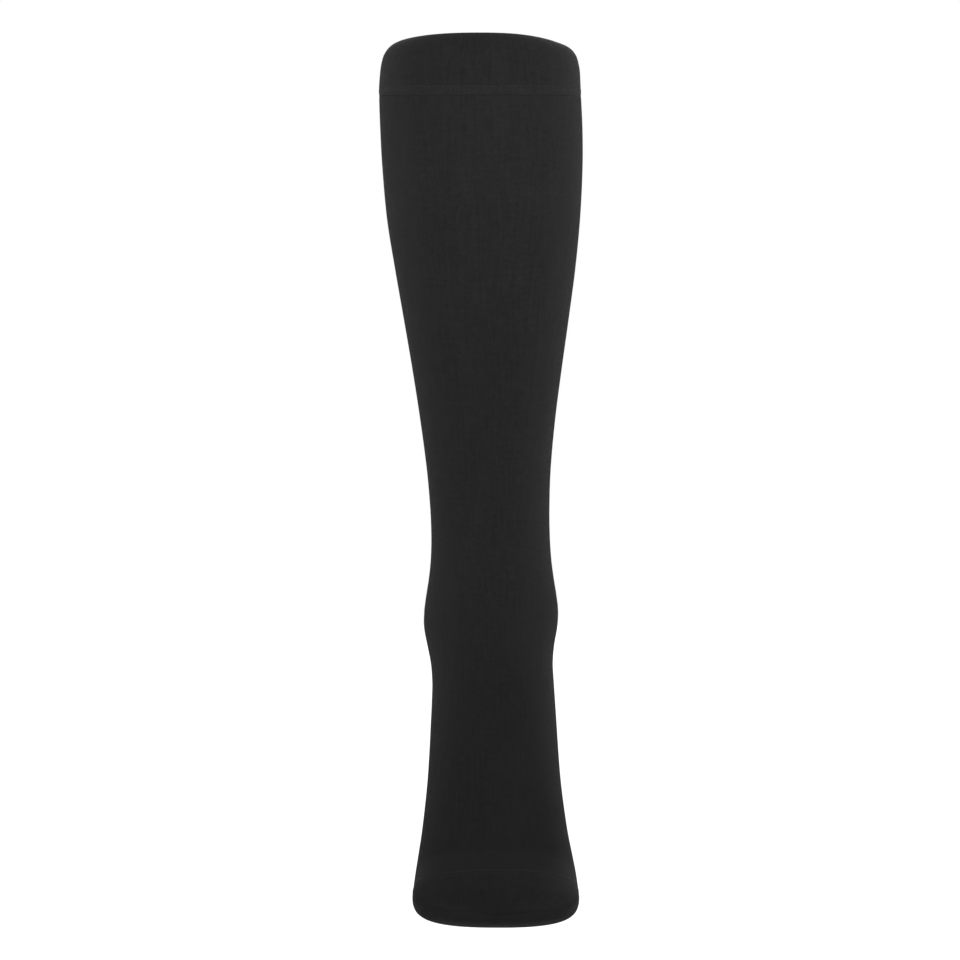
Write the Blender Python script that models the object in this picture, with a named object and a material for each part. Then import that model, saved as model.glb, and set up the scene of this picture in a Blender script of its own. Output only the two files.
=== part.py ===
"""A knee-high compression stocking with a closed toe, filled out and open at the top.

Its knitted wall is lofted through rings, from the rim of the knee band down to the tip of the toe.
+Z runs up the leg, the toes point forward to -Y and down, and +X is the side of the big toe. The
origin is the centre of the knee band, where a leg holds the stocking up. Sizes are in millimetres
up to the last step, which makes metres of them.
"""
import math
from collections import namedtuple

import bmesh
import bpy
from mathutils import Vector

MM = 0.001

# Cloth
LEG_WALL = 1.4
TOE_WALL = 1.6
BAND_WALL = 2.2
SEAM_GAP = 0.3

# Mesh
COLUMNS = 40
RINGS_BETWEEN_SECTIONS = 2

# Knee band: its radii are shares of the radii at its seam
RIM_SHARE = 0.81
RIM_DIP_LEFT = 2.6
RIM_DIP_RIGHT = 3.9
RIM_DIP_SHAPE = 2.7
BAND_FULLNESS = 2.1

# Heel: the wedge of the wall behind this point, between two planes that slope back from it
HEEL_CORNER_BACK = 3.0
HEEL_CORNER_LEVEL = -290.0
HEEL_TOP_SLOPE = math.radians(31)
HEEL_BOTTOM_SLOPE = math.radians(-44)
HEEL_REACH = 120.0
HEEL_WIDTH = 110.0

# The outline seen from the front: how far the wall reaches to the left and right at a level
Outline = namedtuple("Outline", "level left right")
FRONT_OUTLINE = (
    Outline(-15.2, 53.5, 53.4),
    Outline(-31.0, 53.1, 54.2),
    Outline(-47.2, 52.3, 54.5),
    Outline(-68.4, 50.9, 54.0),
    Outline(-84.3, 49.2, 53.0),
    Outline(-116.1, 44.0, 49.8),
    Outline(-158.5, 36.6, 43.9),
    Outline(-200.9, 30.1, 38.6),
    Outline(-222.1, 27.6, 37.2),
    Outline(-243.3, 26.0, 36.8),
    Outline(-260.0, 25.6, 37.2),
    Outline(-290.0, 25.4, 38.0),
    Outline(-316.0, 25.3, 38.2),
    Outline(-328.6, 25.2, 39.1),
    Outline(-351.8, 26.1, 40.6),
    Outline(-380.2, 27.7, 42.6),
    Outline(-408.0, 30.7, 46.3),
    Outline(-427.0, 33.6, 50.0),
    Outline(-439.3, 35.1, 51.5),
    Outline(-450.0, 35.1, 51.5),
)

# Sections seen from the side: each ring runs through a front point and a back point. Its widest
# line lies at a share of the way between them. A fullness of 2 is an ellipse, and more is boxier.
# The width is a share of the front outline's, less than 1 only where the toe closes.
Section = namedtuple(
    "Section", "front front_level back back_level widest fullness back_fullness width", defaults=(1.0,)
)
LEG_SECTIONS = (
    Section(55.0, -17.1, 55.5, -13.3, 0.50, 2.1, 2.1),
    Section(56.3, -36.6, 58.5, -36.6, 0.49, 2.1, 2.1),
    Section(56.8, -57.8, 60.8, -57.8, 0.48, 2.1, 2.1),
    Section(55.8, -84.3, 61.0, -84.3, 0.48, 2.1, 2.1),
    Section(53.5, -110.8, 58.0, -110.8, 0.48, 2.1, 2.1),
    Section(50.5, -137.3, 52.5, -137.3, 0.49, 2.1, 2.1),
    Section(46.8, -163.8, 46.8, -163.8, 0.50, 2.1, 2.1),
    Section(43.0, -190.3, 41.6, -190.3, 0.51, 2.1, 2.1),
    Section(39.6, -216.8, 38.0, -216.8, 0.51, 2.1, 2.1),
    Section(37.3, -238.0, 36.3, -238.0, 0.51, 2.1, 2.1),
)
ANKLE_SECTIONS = (
    Section(36.0, -254.0, 38.5, -252.0, 0.49, 2.1, 2.2),
    Section(35.6, -266.0, 45.0, -262.0, 0.45, 2.1, 2.3),
    Section(35.6, -276.0, 55.0, -271.0, 0.40, 2.1, 2.4),
    Section(35.9, -284.0, 64.5, -280.0, 0.37, 2.1, 2.5),
    Section(36.3, -291.0, 71.0, -291.0, 0.36, 2.1, 2.5),
    Section(36.9, -298.0, 73.5, -303.5, 0.37, 2.1, 2.5),
    Section(37.7, -305.0, 72.5, -316.0, 0.38, 2.1, 2.5),
    Section(38.6, -313.0, 67.5, -328.0, 0.39, 2.1, 2.5),
    Section(39.6, -322.0, 59.0, -339.5, 0.40, 2.1, 2.5),
)
FOOT_SECTIONS = (
    Section(40.6, -332.0, 49.0, -350.0, 0.40, 2.1, 2.5),
    Section(42.0, -344.0, 36.0, -362.5, 0.42, 2.1, 2.5),
    Section(43.6, -357.0, 22.5, -376.5, 0.44, 2.1, 2.5),
    Section(45.8, -371.0, 9.5, -391.0, 0.46, 2.1, 2.5),
    Section(49.0, -385.0, -2.5, -405.5, 0.48, 2.2, 2.6),
    Section(53.4, -397.0, -13.5, -419.0, 0.50, 2.2, 2.7),
    Section(59.5, -406.5, -24.5, -431.0, 0.50, 2.3, 2.8),
    Section(67.5, -413.5, -37.5, -440.5, 0.50, 2.3, 2.9),
    Section(77.0, -419.0, -54.0, -447.5, 0.48, 2.4, 2.9),
)
TOE_SECTIONS = (
    Section(87.0, -424.4, -78.0, -451.8, 0.45, 2.5, 2.6),
    Section(95.0, -428.8, -90.0, -453.3, 0.43, 2.5, 2.6),
    Section(103.5, -433.2, -101.5, -453.8, 0.44, 2.5, 2.6, 0.965),
    Section(111.0, -438.0, -111.0, -453.3, 0.48, 2.5, 2.5, 0.88),
    Section(116.5, -442.2, -116.8, -451.9, 0.50, 2.4, 2.4, 0.70),
    Section(119.0, -444.8, -119.2, -450.2, 0.50, 2.3, 2.3, 0.46),
)
TOE_TIP_FORWARD = 120.0
TOE_TIP_LEVEL = -447.6

# The toe's end slants back from the big toe to the little one
TOE_SLANT = 0.11
TOE_SLANT_START = 84.0
BIG_TOE_SIDE = 50.0

# The band's profile at its front: level, and share of the radius at the seam
BandRow = namedtuple("BandRow", "level share")
BAND_PROFILE = (
    BandRow(13.0, RIM_SHARE),
    BandRow(10.9, 0.864),
    BandRow(8.1, 0.911),
    BandRow(5.6, 0.939),
    BandRow(3.1, 0.960),
    BandRow(-1.4, 0.980),
    BandRow(-5.8, 0.991),
)

# Ankle bones: bumps on the sides of the wall. The side is -1 on the left and 1 on the right.
Bump = namedtuple("Bump", "side back level height reach_back reach_up reach_down")
ANKLE_BONES = (
    Bump(-1, 7.0, -297.0, 4.5, 20.0, 23.5, 17.0),
    Bump(1, -1.0, -293.5, 3.5, 21.0, 21.5, 16.0),
)

KNIT = (0.0205, 0.0205, 0.0210, 1.0)
KNIT_ROUGHNESS = 0.85


def smooth_value(places, values, place):
    """Reads a smooth curve through the values, which stand at falling or rising places."""
    last = len(places) - 1
    step = 0
    while step < last - 1 and (place - places[step + 1]) * (places[last] - places[0]) > 0:
        step += 1

    def slope(index):
        low, high = max(index - 1, 0), min(index + 1, last)
        return (values[high] - values[low]) / (places[high] - places[low])

    span = places[step + 1] - places[step]
    t = min(max((place - places[step]) / span, 0.0), 1.0)
    start, end = values[step], values[step + 1]
    return (
        start * (1 + 2 * t) * (1 - t) ** 2
        + end * t * t * (3 - 2 * t)
        + span * slope(step) * t * (1 - t) ** 2
        - span * slope(step + 1) * t * t * (1 - t)
    )


def reach_at(level):
    """How far the wall reaches to the left and right of the origin at a level."""
    levels = [row.level for row in FRONT_OUTLINE]
    left = smooth_value(levels, [row.left for row in FRONT_OUTLINE], level)
    right = smooth_value(levels, [row.right for row in FRONT_OUTLINE], level)
    return left, right


def over_ankle_bones(point):
    """Moves a point outwards where it lies on an ankle bone."""
    moved = point.copy()
    for bone in ANKLE_BONES:
        if point.x * bone.side <= 0:
            continue
        rise = point.z - bone.level
        reach = bone.reach_up if rise > 0 else bone.reach_down
        distance = (rise / reach) ** 2 + ((point.y - bone.back) / bone.reach_back) ** 2
        moved.x += bone.side * bone.height * math.exp(-distance)
    return moved


def slanted_toe(point):
    """Draws a point of the toe back, more towards the tip and the side of the little toe."""
    ahead = max((-point.y - TOE_SLANT_START) / (TOE_TIP_FORWARD - TOE_SLANT_START), 0.0)
    return point + Vector((0.0, TOE_SLANT * ahead * (BIG_TOE_SIDE - point.x), 0.0))


def turn_at(column):
    """The angle of a column: 0 on the right, a quarter turn at the front."""
    return math.tau * column / COLUMNS


def swell(turn, fullness):
    """Fills an ellipse out towards a rounded box, where fullness is over 2."""
    return (abs(math.cos(turn)) ** fullness + abs(math.sin(turn)) ** fullness) ** (-1 / fullness)


def section_ring(section):
    """The points of one ring, worked out from its section."""
    front = Vector((0.0, -section.front, section.front_level))
    back = Vector((0.0, section.back, section.back_level))
    middle = front.lerp(back, section.widest)
    left, right = reach_at(middle.z)
    centre = middle + Vector(((right - left) / 2, 0.0, 0.0))
    half_width = section.width * (left + right) / 2
    ring = []
    for column in range(COLUMNS):
        turn = turn_at(column)
        ahead = math.sin(turn) > 0
        end = front if ahead else back
        size = swell(turn, section.fullness if ahead else section.back_fullness)
        across = Vector((half_width * math.cos(turn) * size, 0.0, 0.0))
        along = (end - middle) * abs(math.sin(turn)) * size
        ring.append(slanted_toe(over_ankle_bones(centre + across + along)))
    return ring


def band_ring(row, seam):
    """One ring of the knee band: a smaller copy of the seam's ring, dipping at its sides."""
    left, right = reach_at(seam.front_level)
    centre = Vector(((right - left) / 2, (seam.back - seam.front) / 2, 0.0))
    half_width = row.share * (left + right) / 2
    half_depth = row.share * (seam.back + seam.front) / 2
    turned_in = (1 - row.share) / (1 - RIM_SHARE)
    ring = []
    for column in range(COLUMNS):
        turn = turn_at(column)
        size = swell(turn, BAND_FULLNESS)
        dip = RIM_DIP_RIGHT if math.cos(turn) > 0 else RIM_DIP_LEFT
        level = row.level - turned_in * dip * abs(math.cos(turn)) ** RIM_DIP_SHAPE
        offset = Vector((half_width * math.cos(turn) * size, -half_depth * math.sin(turn) * size, level))
        ring.append(centre + offset)
    return ring


def lofted(rings, between):
    """Adds rings between the given ones, on smooth curves down each column."""
    result = [rings[0]]
    for index in range(len(rings) - 1):
        before = rings[max(index - 1, 0)]
        start = rings[index]
        end = rings[index + 1]
        after = rings[min(index + 2, len(rings) - 1)]
        for step in range(1, between + 1):
            t = step / between
            ring = []
            for column in range(COLUMNS):
                chord = (end[column] - start[column]).length
                lead_in = (end[column] - before[column]).normalized() * chord
                lead_out = (after[column] - start[column]).normalized() * chord
                ring.append(
                    start[column] * (1 + 2 * t) * (1 - t) ** 2
                    + end[column] * t * t * (3 - 2 * t)
                    + lead_in * t * (1 - t) ** 2
                    - lead_out * t * t * (1 - t)
                )
            result.append(ring)
    return result


def inner_rings(rings, wall):
    """The same rings moved inwards, square to the surface, by the wall's thickness."""
    result = []
    last = len(rings) - 1
    for index, ring in enumerate(rings):
        above = rings[max(index - 1, 0)]
        below = rings[min(index + 1, last)]
        moved = []
        for column, point in enumerate(ring):
            down = below[column] - above[column]
            around = ring[(column + 1) % COLUMNS] - ring[column - 1]
            moved.append(point - around.cross(down).normalized() * wall)
        result.append(moved)
    return result


def drawn_in(ring, towards, distance):
    """Moves a ring a short way along the wall towards the next one."""
    return [point + (aim - point).normalized() * distance for point, aim in zip(ring, towards)]


def add_wall(mesh, rings, outwards):
    """Adds the faces between the rings and returns the rings' vertices."""
    rows = [[mesh.verts.new(point * MM) for point in ring] for ring in rings]
    for upper, lower in zip(rows, rows[1:]):
        for column in range(COLUMNS):
            after = (column + 1) % COLUMNS
            corners = [upper[column], upper[after], lower[after], lower[column]]
            mesh.faces.new(corners if outwards else corners[::-1])
    return rows


def join_rims(mesh, outer, inner, faces_up):
    """Closes one end of the wall between its outer and its inner rim."""
    for column in range(COLUMNS):
        after = (column + 1) % COLUMNS
        corners = [outer[column], inner[column], inner[after], outer[after]]
        mesh.faces.new(corners if faces_up else corners[::-1])


def close_tip(mesh, rim, tip, outwards):
    """Closes the last ring with a fan of triangles round one point."""
    point = mesh.verts.new(tip * MM)
    for column in range(COLUMNS):
        after = (column + 1) % COLUMNS
        corners = [rim[column], rim[after], point]
        mesh.faces.new(corners if outwards else corners[::-1])


def knit_material(name):
    """Black knit, plain and matt."""
    material = bpy.data.materials.new(name)
    material.use_nodes = True
    shader = material.node_tree.nodes["Principled BSDF"]
    shader.inputs["Base Color"].default_value = KNIT
    shader.inputs["Roughness"].default_value = KNIT_ROUGHNESS
    shader.inputs["Metallic"].default_value = 0.0
    return material


def finish_piece(name, mesh):
    """Makes a smooth-shaded object of a finished mesh."""
    data = bpy.data.meshes.new(name)
    mesh.to_mesh(data)
    mesh.free()
    data.shade_smooth()
    piece = bpy.data.objects.new(name, data)
    bpy.context.collection.objects.link(piece)
    piece.data.materials.append(knit_material(name))
    return piece


def make_tube(name, outer_rings, inner):
    """An open tube of cloth."""
    mesh = bmesh.new()
    outer_rows = add_wall(mesh, outer_rings, outwards=True)
    inner_rows = add_wall(mesh, inner, outwards=False)
    join_rims(mesh, outer_rows[0], inner_rows[0], faces_up=True)
    join_rims(mesh, outer_rows[-1], inner_rows[-1], faces_up=False)
    return finish_piece(name, mesh)


def make_cap(name, outer_rings, inner, tip, inner_tip):
    """A tube of cloth that is closed at its lower end."""
    mesh = bmesh.new()
    outer_rows = add_wall(mesh, outer_rings, outwards=True)
    inner_rows = add_wall(mesh, inner, outwards=False)
    join_rims(mesh, outer_rows[0], inner_rows[0], faces_up=True)
    close_tip(mesh, outer_rows[-1], tip, outwards=True)
    close_tip(mesh, inner_rows[-1], inner_tip, outwards=False)
    return finish_piece(name, mesh)


def make_heel_wedge(name, clearance):
    """A wedge that opens backwards from the heel's corner, smaller all round by the clearance."""
    corner_shift = clearance / math.sin((HEEL_TOP_SLOPE - HEEL_BOTTOM_SLOPE) / 2)
    middle_slope = (HEEL_TOP_SLOPE + HEEL_BOTTOM_SLOPE) / 2
    corner = Vector((0.0, HEEL_CORNER_BACK, HEEL_CORNER_LEVEL))
    corner += corner_shift * Vector((0.0, math.cos(middle_slope), math.sin(middle_slope)))
    profile = [corner]
    for slope in (HEEL_BOTTOM_SLOPE, HEEL_TOP_SLOPE):
        profile.append(corner + HEEL_REACH * Vector((0.0, math.cos(slope), math.sin(slope))))
    mesh = bmesh.new()
    side = Vector((HEEL_WIDTH / 2, 0.0, 0.0))
    left = [mesh.verts.new((point - side) * MM) for point in profile]
    right = [mesh.verts.new((point + side) * MM) for point in profile]
    mesh.faces.new(left[::-1])
    mesh.faces.new(right)
    for index in range(3):
        after = (index + 1) % 3
        mesh.faces.new([left[index], left[after], right[after], right[index]])
    wedge = finish_piece(name, mesh)
    wedge.display_type = "WIRE"
    wedge.hide_render = True
    return wedge


def cut_with(piece, operation, cutter):
    """Cuts a piece with a Boolean modifier."""
    modifier = piece.modifiers.new(cutter.name, "BOOLEAN")
    modifier.operation = operation
    modifier.solver = "EXACT"
    modifier.object = cutter


def make_band(skin, seam):
    """The knee band, from its rim down to the seam."""
    outer = skin[: seam + 1]
    inner = inner_rings(skin, BAND_WALL)[: seam + 1]
    for grid in (outer, inner):
        grid[-1] = drawn_in(grid[-1], grid[-2], SEAM_GAP)
    make_tube("knee_band", outer, inner)


def make_leg_and_heel(skin, band_seam, toe_seam):
    """The leg and foot as one tube, and the heel, which is cut out of its back."""
    outer = skin[band_seam : toe_seam + 1]
    inner = inner_rings(skin, LEG_WALL)[band_seam : toe_seam + 1]
    leg = make_tube("leg_and_foot", outer, inner)
    heel = make_tube("heel", outer, inner)
    cut_with(leg, "DIFFERENCE", make_heel_wedge("heel_opening", 0.0))
    cut_with(heel, "INTERSECT", make_heel_wedge("heel_outline", SEAM_GAP))


def make_toe(skin, seam):
    """The toe cap, from its seam to the closed tip."""
    left, right = reach_at(TOE_TIP_LEVEL)
    tip = slanted_toe(Vector(((right - left) / 2, -TOE_TIP_FORWARD, TOE_TIP_LEVEL)))
    outer = skin[seam:]
    inner = inner_rings(skin, TOE_WALL)[seam:]
    for grid in (outer, inner):
        grid[0] = drawn_in(grid[0], grid[1], SEAM_GAP)
    make_cap("toe_cap", outer, inner, tip, tip + Vector((0.0, TOE_WALL, 0.0)))


def main():
    for item in list(bpy.data.objects):
        bpy.data.objects.remove(item)
    tube_sections = LEG_SECTIONS + ANKLE_SECTIONS + FOOT_SECTIONS
    sections = tube_sections + TOE_SECTIONS
    skin = [band_ring(row, LEG_SECTIONS[0]) for row in BAND_PROFILE]
    skin += lofted([section_ring(section) for section in sections], RINGS_BETWEEN_SECTIONS)
    band_seam = len(BAND_PROFILE)
    toe_seam = band_seam + len(tube_sections) * RINGS_BETWEEN_SECTIONS
    make_band(skin, band_seam)
    make_leg_and_heel(skin, band_seam, toe_seam)
    make_toe(skin, toe_seam)


main()
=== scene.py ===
"""The looks of a knee-high compression stocking: its knit, its seams and stitches, and a pale studio.

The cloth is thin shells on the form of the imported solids, lofted through the same tables as those in
finer rings. +Z runs up the leg, the toes point forward to -Y and down, and +X is the side of the big
toe. Sizes are in millimetres up to the last step, which makes metres of them.
"""
import math
from collections import namedtuple

import bmesh
import bpy
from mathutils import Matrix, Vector


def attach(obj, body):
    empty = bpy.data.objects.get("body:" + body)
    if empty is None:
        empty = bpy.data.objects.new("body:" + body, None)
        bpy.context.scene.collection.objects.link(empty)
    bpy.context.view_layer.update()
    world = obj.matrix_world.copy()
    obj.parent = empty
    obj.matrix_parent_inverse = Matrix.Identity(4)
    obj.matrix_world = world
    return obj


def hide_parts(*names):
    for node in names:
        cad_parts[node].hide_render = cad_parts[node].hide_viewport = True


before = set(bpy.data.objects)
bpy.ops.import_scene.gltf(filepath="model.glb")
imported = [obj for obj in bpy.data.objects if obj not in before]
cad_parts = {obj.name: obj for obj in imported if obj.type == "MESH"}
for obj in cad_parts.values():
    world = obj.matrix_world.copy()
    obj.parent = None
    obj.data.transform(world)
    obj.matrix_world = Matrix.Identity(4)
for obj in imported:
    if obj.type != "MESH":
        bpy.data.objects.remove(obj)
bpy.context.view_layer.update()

MM = 0.001

# Cloth
BAND_DEPTH = 2.2
BAND_LAYER = 0.7
LEG_CLOTH = 0.7
HEEL_CLOTH = 0.9
TOE_CLOTH = 0.9

# Mesh: columns round the stocking, steps round the fold at the rim, and the short step along a path
# that tells its direction
COLUMNS = 240
RIM_FOLD_STEPS = 7
NUDGE = 0.01

# Knit: stitches round the leg, and rows of them to a metre
WALES = 400
COURSES = 1600

# One stitch: how far its loops slant, how deep their waist is, and the wave of an elastic row
LOOP_SLANT = 0.6
LOOP_WAIST = 0.25
ROW_WAVE = 0.12

# Uneven yarn, as layers of noise: cells to one radius of the leg and to a metre down it, how fine
# the noise is, and its share
YarnLayer = namedtuple("YarnLayer", "cells_round cells_down detail share")
YARN_LAYERS = (
    YarnLayer(26.0, 75.0, 2.0, 1.0),
    YarnLayer(2.2, 22.0, 1.0, 0.5),
    YarnLayer(42.0, 620.0, 1.0, 0.8),
    YarnLayer(7.0, 430.0, 1.0, 0.6),
)

# The form: the outline seen from the front, as the reach to the left and right at a level
Outline = namedtuple("Outline", "level left right")
FRONT_OUTLINE = (
    Outline(-15.2, 53.5, 53.4),
    Outline(-31.0, 53.1, 54.2),
    Outline(-47.2, 52.3, 54.5),
    Outline(-68.4, 50.9, 54.0),
    Outline(-84.3, 49.2, 53.0),
    Outline(-116.1, 44.0, 49.8),
    Outline(-158.5, 36.6, 43.9),
    Outline(-200.9, 30.1, 38.6),
    Outline(-222.1, 27.6, 37.2),
    Outline(-243.3, 26.0, 36.8),
    Outline(-260.0, 25.6, 37.2),
    Outline(-290.0, 25.4, 38.0),
    Outline(-316.0, 25.3, 38.2),
    Outline(-328.6, 25.2, 39.1),
    Outline(-351.8, 26.1, 40.6),
    Outline(-380.2, 27.7, 42.6),
    Outline(-408.0, 30.7, 46.3),
    Outline(-427.0, 33.6, 50.0),
    Outline(-439.3, 35.1, 51.5),
    Outline(-450.0, 35.1, 51.5),
)

# Sections seen from the side: each ring runs through a front point and a back point. Its widest
# line lies at a share of the way between them. A fullness of 2 is an ellipse, and more is boxier.
# The width is a share of the front outline's, less than 1 only where the toe closes.
Section = namedtuple(
    "Section", "front front_level back back_level widest fullness back_fullness width", defaults=(1.0,)
)
LEG_SECTIONS = (
    Section(55.0, -17.1, 55.5, -13.3, 0.50, 2.1, 2.1),
    Section(56.3, -36.6, 58.5, -36.6, 0.49, 2.1, 2.1),
    Section(56.8, -57.8, 60.8, -57.8, 0.48, 2.1, 2.1),
    Section(55.8, -84.3, 61.0, -84.3, 0.48, 2.1, 2.1),
    Section(53.5, -110.8, 58.0, -110.8, 0.48, 2.1, 2.1),
    Section(50.5, -137.3, 52.5, -137.3, 0.49, 2.1, 2.1),
    Section(46.8, -163.8, 46.8, -163.8, 0.50, 2.1, 2.1),
    Section(43.0, -190.3, 41.6, -190.3, 0.51, 2.1, 2.1),
    Section(39.6, -216.8, 38.0, -216.8, 0.51, 2.1, 2.1),
    Section(37.3, -238.0, 36.3, -238.0, 0.51, 2.1, 2.1),
)
ANKLE_SECTIONS = (
    Section(36.0, -254.0, 38.5, -252.0, 0.49, 2.1, 2.2),
    Section(35.6, -266.0, 45.0, -262.0, 0.45, 2.1, 2.3),
    Section(35.6, -276.0, 55.0, -271.0, 0.40, 2.1, 2.4),
    Section(35.9, -284.0, 64.5, -280.0, 0.37, 2.1, 2.5),
    Section(36.3, -291.0, 71.0, -291.0, 0.36, 2.1, 2.5),
    Section(36.9, -298.0, 73.5, -303.5, 0.37, 2.1, 2.5),
    Section(37.7, -305.0, 72.5, -316.0, 0.38, 2.1, 2.5),
    Section(38.6, -313.0, 67.5, -328.0, 0.39, 2.1, 2.5),
    Section(39.6, -322.0, 59.0, -339.5, 0.40, 2.1, 2.5),
)
FOOT_SECTIONS = (
    Section(40.6, -332.0, 49.0, -350.0, 0.40, 2.1, 2.5),
    Section(42.0, -344.0, 36.0, -362.5, 0.42, 2.1, 2.5),
    Section(43.6, -357.0, 22.5, -376.5, 0.44, 2.1, 2.5),
    Section(45.8, -371.0, 9.5, -391.0, 0.46, 2.1, 2.5),
    Section(49.0, -385.0, -2.5, -405.5, 0.48, 2.2, 2.6),
    Section(53.4, -397.0, -13.5, -419.0, 0.50, 2.2, 2.7),
    Section(59.5, -406.5, -24.5, -431.0, 0.50, 2.3, 2.8),
    Section(67.5, -413.5, -37.5, -440.5, 0.50, 2.3, 2.9),
    Section(77.0, -419.0, -54.0, -447.5, 0.48, 2.4, 2.9),
)
TOE_SECTIONS = (
    Section(87.0, -424.4, -78.0, -451.8, 0.45, 2.5, 2.6),
    Section(95.0, -428.8, -90.0, -453.3, 0.43, 2.5, 2.6),
    Section(103.5, -433.2, -101.5, -453.8, 0.44, 2.5, 2.6, 0.965),
    Section(111.0, -438.0, -111.0, -453.3, 0.48, 2.5, 2.5, 0.88),
    Section(116.5, -442.2, -116.8, -451.9, 0.50, 2.4, 2.4, 0.70),
    Section(119.0, -444.8, -119.2, -450.2, 0.50, 2.3, 2.3, 0.46),
)
SECTIONS = LEG_SECTIONS + ANKLE_SECTIONS + FOOT_SECTIONS + TOE_SECTIONS
TOE_TIP_FORWARD = 120.0
TOE_TIP_LEVEL = -447.6

# The toe's end slants back from the big toe to the little one
TOE_SLANT = 0.11
TOE_SLANT_START = 84.0
BIG_TOE_SIDE = 50.0

# The band's profile at its front: level, and share of the radius at the seam
RIM_SHARE = 0.81
RIM_DIP_LEFT = 2.7
RIM_DIP_RIGHT = 4.4
RIM_DIP_SHAPE = 2.7
BAND_FULLNESS = 2.1
BandRow = namedtuple("BandRow", "level share")
BAND_PROFILE = (
    BandRow(13.0, RIM_SHARE),
    BandRow(10.9, 0.864),
    BandRow(8.1, 0.911),
    BandRow(5.6, 0.939),
    BandRow(3.1, 0.960),
    BandRow(-1.4, 0.980),
    BandRow(-5.8, 0.991),
)

# Ankle bones: bumps on the sides of the wall. The side is -1 on the left and 1 on the right.
Bump = namedtuple("Bump", "side back level height reach_back reach_up reach_down")
ANKLE_BONES = (
    Bump(-1, 7.0, -297.0, 4.5, 20.0, 23.5, 17.0),
    Bump(1, -1.0, -293.5, 3.5, 21.0, 21.5, 16.0),
)

# Heel: the wedge of cloth behind this point, between two planes that slope back from it
HEEL_CORNER_BACK = 3.0
HEEL_CORNER_LEVEL = -290.0
HEEL_TOP_SLOPE = math.radians(31)
HEEL_BOTTOM_SLOPE = math.radians(-44)
HEEL_CORNER = Vector((0.0, HEEL_CORNER_BACK, HEEL_CORNER_LEVEL))
HEEL_TOP = Vector((0.0, -math.sin(HEEL_TOP_SLOPE), math.cos(HEEL_TOP_SLOPE)))
HEEL_BOTTOM = Vector((0.0, math.sin(HEEL_BOTTOM_SLOPE), -math.cos(HEEL_BOTTOM_SLOPE)))

# Both edges at the heel's join are drawn in, most at the edge itself, and get narrow rows of faces.
# Points that come too close are merged. The cuts lie within a reach of the join, and end a little
# past its corner.
JOIN_DEPTH = 0.32
JOIN_REACH = 0.5
JOIN_ROWS = (0.2, 0.45, 0.8, 1.3)
JOIN_MERGE = 0.015
CUT_REACH = 6.0
CUT_PAST_CORNER = 4.0

# Places down the stocking count the sections passed, from 0 at the rim
BAND_SEAM = len(BAND_PROFILE)
LEG_END = BAND_SEAM + len(LEG_SECTIONS) - 1
TOE_SEAM = BAND_SEAM + len(SECTIONS) - len(TOE_SECTIONS)
TOE_TIP = BAND_SEAM + len(SECTIONS)

# Plain stretches of the cloth, whose rows lie about a step apart
Stretch = namedtuple("Stretch", "start end step")
BAND_STRETCH = Stretch(0.05, 6.3, 0.22)
LEG_STRETCH = Stretch(BAND_SEAM + 0.4, LEG_END, 0.16)
FOOT_STRETCH = Stretch(LEG_END, TOE_SEAM - 0.5, 0.2)
TOE_STRETCH = Stretch(TOE_SEAM + 0.5, TOE_TIP - 0.04, 0.12)

# Rows of the cloth: a place, how far past it along the cloth, and how far out from the form
Row = namedtuple("Row", "place past out", defaults=(0.0, 0.0))

# The stitched strip along the band's lower edge, between these distances past the seam
STRIP_START = -2.3
STRIP_END = 2.9

# The low ridge at the toe's seam, the same on both of its sides: its edge is tucked in
RidgePoint = namedtuple("RidgePoint", "from_seam out")
TOE_RIDGE = (
    RidgePoint(0.02, -0.24),
    RidgePoint(0.06, -0.10),
    RidgePoint(0.18, -0.02),
    RidgePoint(0.4, 0.04),
    RidgePoint(0.7, 0.08),
    RidgePoint(1.2, 0.06),
    RidgePoint(1.8, 0.02),
    RidgePoint(2.4, 0.0),
)

# Finishes of the knit. Sheen is the soft light on its fibres at a slant, and spread is how wide that
# light lies. Inlay, the painted shade between the stitches, and streaks are values that the knit group
# takes.
Finish = namedtuple("Finish", "grey sheen spread inlay gap streaks")
LEG_FINISH = Finish(0.0257, 0.065, 0.4, 0.0, 0.42, 0.46)
BAND_FINISH = Finish(0.0268, 0.08, 0.5, 0.35, 0.38, 0.55)
# Painted light: the stitched strip's knit is a lighter grey than the rest of the band
STRIP_PAINTED_LIGHT_FINISH = BAND_FINISH._replace(grey=0.0318)
HEEL_FINISH = Finish(0.0224, 0.065, 0.4, 0.1, 0.42, 0.46)
TOE_FINISH = Finish(0.0182, 0.065, 0.4, 0.1, 0.42, 0.60)
REVERSE_FINISH = Finish(0.0560, 0.065, 0.4, 1.0, 0.45, 0.35)
KNIT_RELIEF = 0.17
RELIEF_STRENGTH = 0.8
KNIT_SPECULAR = 0.15

# The knit is roughest between its stitches, and less so on top of them
KNIT_ROUGHNESS = 0.9
ROUGHNESS_ON_TOP = -0.15

# Steps of tone, each of which changes it smoothly by a gain between two levels in metres
ToneStep = namedtuple("ToneStep", "start end gain")

# Tone of the leg's and foot's knit, from its lowest at the toes up to the calf. It is partly the knit's
# stretch, most at the calf, and partly painted shade, darker low on the foot and toes.
LOWEST_TONE = 0.60
LEG_STRETCH_AND_SHADE_TONES = (
    ToneStep(-0.432, -0.405, 0.24),
    ToneStep(-0.400, -0.330, 0.06),
    ToneStep(-0.330, -0.265, 0.20),
    ToneStep(-0.215, -0.175, -0.03),
    ToneStep(-0.180, -0.020, 0.17),
)

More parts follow.
